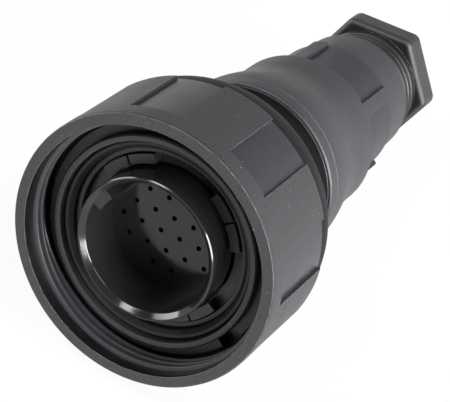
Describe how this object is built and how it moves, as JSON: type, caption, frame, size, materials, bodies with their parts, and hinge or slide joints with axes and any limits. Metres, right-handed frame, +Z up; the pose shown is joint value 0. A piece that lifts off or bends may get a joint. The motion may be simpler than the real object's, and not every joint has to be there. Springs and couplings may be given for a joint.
{
  "type": "circular connector plug",
  "caption": "Sealed round multi-way cable plug with a threaded grip ring around the contact tube, a stepped back shell and a hexagonal cable gland nut.",
  "frame": {"origin": "centre of the bounding box on the ground under the plug, which lies on the edge of its coupling ring and on one flat of its gland nut", "axes": "+Z up; +Y from the mouth of the coupling ring towards the gland nut, with the plug's own axis drooping by 9.280 degrees towards the nut; +X to the right when the plug is seen from its mouth"},
  "size_m": [0.046, 0.0962, 0.0482],
  "materials": {
    "ring_nylon": "glass-filled nylon, fine moulded grain",
    "body_nylon": "glass-filled nylon, fine moulded grain",
    "shell_nylon": "glass-filled nylon, satin moulded grain",
    "nut_nylon": "glass-filled nylon, fine moulded grain",
    "carrier_nylon": "smooth glossy black nylon",
    "washer_acetal": "black acetal, smooth",
    "seal_rubber": "black nitrile rubber",
    "contact_gold": "gold-plated brass"
  },
  "bodies": {
    "plug_body": {"split_ring": "washer_acetal", "front_body": "body_nylon", "mating_seal": "seal_rubber", "contact_carrier": "carrier_nylon", "carrier_lock_ring": "carrier_nylon", "carrier_seal": "seal_rubber", "contact_retainer": "carrier_nylon", "back_shell": "shell_nylon", "shell_seal": "seal_rubber", "contact_1": "contact_gold", "contact_2": "contact_gold", "contact_3": "contact_gold", "contact_4": "contact_gold", "contact_5": "contact_gold", "contact_6": "contact_gold", "contact_7": "contact_gold", "contact_8": "contact_gold", "contact_9": "contact_gold", "contact_10": "contact_gold", "contact_11": "contact_gold", "contact_12": "contact_gold", "contact_13": "contact_gold", "contact_14": "contact_gold", "contact_15": "contact_gold", "contact_16": "contact_gold", "contact_17": "contact_gold", "contact_18": "contact_gold", "contact_19": "contact_gold", "contact_20": "contact_gold", "contact_21": "contact_gold", "contact_22": "contact_gold", "contact_23": "contact_gold", "contact_24": "contact_gold", "contact_25": "contact_gold"},
    "coupling_ring": {"coupling_ring": "ring_nylon"},
    "gland_cage": {"gland_cage": "washer_acetal", "gland_seal": "seal_rubber"},
    "gland_nut": {"gland_nut": "nut_nylon"}
  },
  "joints": [
    {"name": "coupling_ring_turn", "type": "hinge", "parent": "plug_body", "child": "coupling_ring", "pos_m": [0, -0.03548, 0.02413], "axis": [0, 0.9869, -0.1613], "continuous": true},
    {"name": "gland_cage_slide", "type": "slide", "parent": "plug_body", "child": "gland_cage", "axis": [0, 0.9869, -0.1613], "range_m": [-0.0046, 0.0031]},
    {"name": "gland_nut_turn", "type": "hinge", "parent": "gland_cage", "child": "gland_nut", "pos_m": [0, 0.03745, 0.01221], "axis": [0, 0.9869, -0.1613], "range_deg": [-1080, 720]}
  ],
  "couplings": [
    {"joint": "gland_cage_slide", "follows": "gland_nut_turn", "m_per_rad": 0.00023873}
  ]
}
